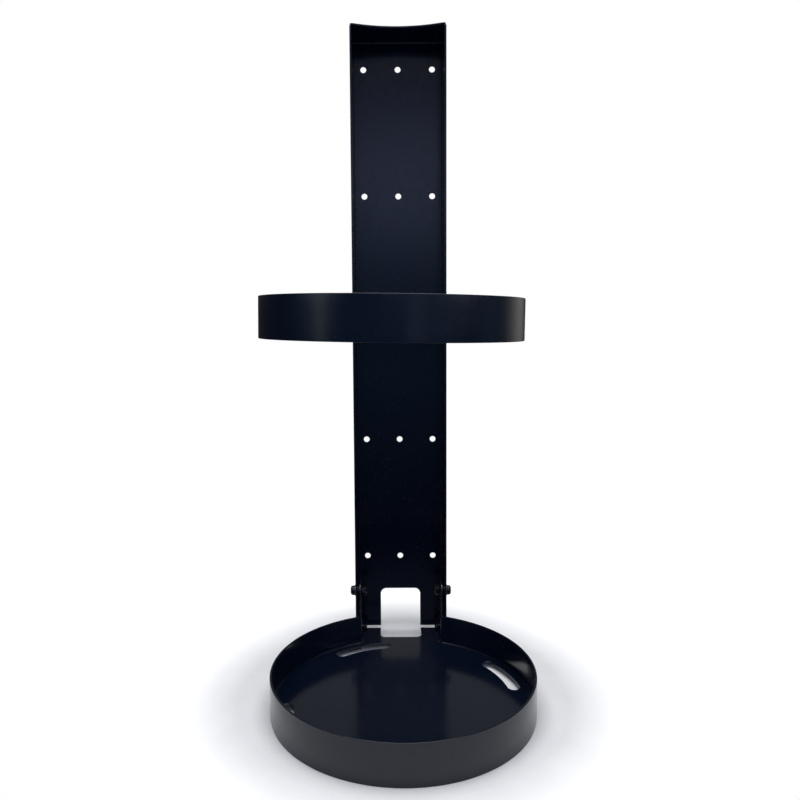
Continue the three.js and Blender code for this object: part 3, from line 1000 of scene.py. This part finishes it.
def make_floor():
    """A round pale floor under the stand. A painted white glow, seen only by the camera, brightens it
    away from the stand, until it is as white as the backdrop at its edge."""
    angle = np.linspace(0, math.tau, FLOOR_SIDES, endpoint=False)
    level = np.full(FLOOR_SIDES, -0.05 * MM)
    points = np.stack([FLOOR_RADIUS * np.cos(angle), FLOOR_RADIUS * np.sin(angle), level], -1)
    mesh = bpy.data.meshes.new("floor")
    mesh.from_pydata(points.tolist(), [], [list(range(FLOOR_SIDES))])
    material, tree, shader = new_material("pale_floor")
    place = add(tree, "ShaderNodeTexCoord").outputs["Object"]
    clouds = noise(tree, place, 30, 4)
    tone = ramp(tree, clouds, [(0.3, (0.86, 0.86, 0.86)), (0.7, (0.9, 0.9, 0.9))])
    tree.links.new(tone, shader.inputs["Base Color"])
    shader.inputs["Roughness"].default_value = 0.8
    shader.inputs["Specular IOR Level"].default_value = 0.2
    reach = add(tree, "ShaderNodeVectorMath", operation="LENGTH")
    tree.links.new(place, reach.inputs[0])
    # Painted glow: white emission that only the camera sees. It is nothing near the stand and rises
    # towards the floor's edge.
    painted_camera_glow = ranged(tree, reach.outputs["Value"], BRIGHT_FROM, BRIGHT_AT, 0, 0.6)
    seen = add(tree, "ShaderNodeLightPath").outputs["Is Camera Ray"]
    shader.inputs["Emission Color"].default_value = (1, 1, 1, 1)
    tree.links.new(maths(tree, "MULTIPLY", painted_camera_glow, seen), shader.inputs["Emission Strength"])
    mesh.materials.append(material)
    floor = bpy.data.objects.new("floor", mesh)
    bpy.context.scene.collection.objects.link(floor)


def make_world():
    """White behind the stand as the camera sees it. In reflections the room is dark in front of
    the stand and paler behind it, with the glows of its windows and walls."""
    world = bpy.data.worlds.new("studio")
    world.use_nodes = True
    tree = world.node_tree
    tree.nodes.clear()
    backdrop = add(tree, "ShaderNodeBackground")
    backdrop.inputs["Color"].default_value = (1, 1, 1, 1)
    room = add(tree, "ShaderNodeBackground")
    split = add(tree, "ShaderNodeSeparateXYZ")
    gaze = add(tree, "ShaderNodeTexCoord").outputs["Generated"]
    tree.links.new(gaze, split.inputs[0])
    shade = ramp(tree, ranged(tree, split.outputs["Y"], -0.6, 1, 0, 1), ROOM_SHADES)
    level = ranged(tree, split.outputs["Z"], 0.02, 0.3, 0.15, 1)
    shade = mixed(tree, level, (0, 0, 0), shade)
    for direction, reach, radiance in GLOWS:
        offset = add(tree, "ShaderNodeVectorMath", operation="SUBTRACT")
        tree.links.new(gaze, offset.inputs[0])
        offset.inputs[1].default_value = direction
        scaled = add(tree, "ShaderNodeVectorMath", operation="DIVIDE")
        tree.links.new(offset.outputs[0], scaled.inputs[0])
        scaled.inputs[1].default_value = reach
        distance = add(tree, "ShaderNodeVectorMath", operation="LENGTH")
        tree.links.new(scaled.outputs[0], distance.inputs[0])
        glow = ranged(tree, distance.outputs["Value"], 0, 1, 1, 0, "SMOOTHSTEP")
        both = add(tree, "ShaderNodeVectorMath", operation="MULTIPLY_ADD")
        tree.links.new(glow, both.inputs[0])
        both.inputs[1].default_value = radiance
        tree.links.new(shade, both.inputs[2])
        shade = both.outputs["Vector"]
    tree.links.new(shade, room.inputs["Color"])
    either = add(tree, "ShaderNodeMixShader")
    output = add(tree, "ShaderNodeOutputWorld")
    tree.links.new(add(tree, "ShaderNodeLightPath").outputs["Is Camera Ray"], either.inputs[0])
    tree.links.new(room.outputs[0], either.inputs[1])
    tree.links.new(backdrop.outputs[0], either.inputs[2])
    tree.links.new(either.outputs[0], output.inputs["Surface"])
    bpy.context.scene.world = world


def make_light():
    """One large soft light overhead, tipped towards the foot of the stand."""
    light = bpy.data.lights.new("overhead", "AREA")
    light.shape = "RECTANGLE"
    light.size, light.size_y = LIGHT_SIZE
    light.energy = LIGHT_WATTS
    place = Vector((0, LIGHT_Y, LIGHT_HEIGHT))
    away = place - Vector((0, 0, 0.1))
    turn = away.to_track_quat("Z", "Y").to_matrix().to_4x4()
    lamp = bpy.data.objects.new("overhead", light)
    lamp.matrix_world = Matrix.Translation(place) @ turn
    lamp.visible_camera = False
    bpy.context.scene.collection.objects.link(lamp)


def make_camera():
    """The camera stands ahead of the rim, looks slightly down, and turns by small angles."""
    ahead = math.cos(CAMERA_ASIDE)
    aside = math.sin(CAMERA_ASIDE)
    down = math.sin(CAMERA_DOWN)
    gaze = np.array([aside * math.cos(CAMERA_DOWN), ahead * math.cos(CAMERA_DOWN), -down])
    level = np.array([ahead, -aside, 0])
    upward = np.cross(level, gaze)
    right = math.cos(CAMERA_ROLL) * level + math.sin(CAMERA_ROLL) * upward
    top = -math.sin(CAMERA_ROLL) * level + math.cos(CAMERA_ROLL) * upward
    camera = bpy.data.objects.new("camera", bpy.data.cameras.new("camera"))
    camera.data.lens = LENS
    camera.data.sensor_width = SENSOR
    camera.data.shift_x, camera.data.shift_y = SHIFT
    camera.data.clip_start = 0.01
    place = Vector((CAMERA_X, cad_low.y - CAMERA_AHEAD, CAMERA_HEIGHT))
    turn = Matrix(np.stack([right, top, -gaze], -1).tolist()).to_4x4()
    camera.matrix_world = Matrix.Translation(place) @ turn
    bpy.context.scene.collection.objects.link(camera)
    bpy.context.scene.camera = camera


coat = powder_coat()
zinc = black_zinc()
make_column(coat)
make_tray_plate(coat)
make_rim(coat)
make_hoop(coat)
make_bracket(coat)
make_foot_welds(coat)
make_upright_welds(coat)
make_fasteners(zinc)
make_floor()
make_world()
make_light()
make_camera()
bpy.context.scene.view_settings.view_transform = "Standard"
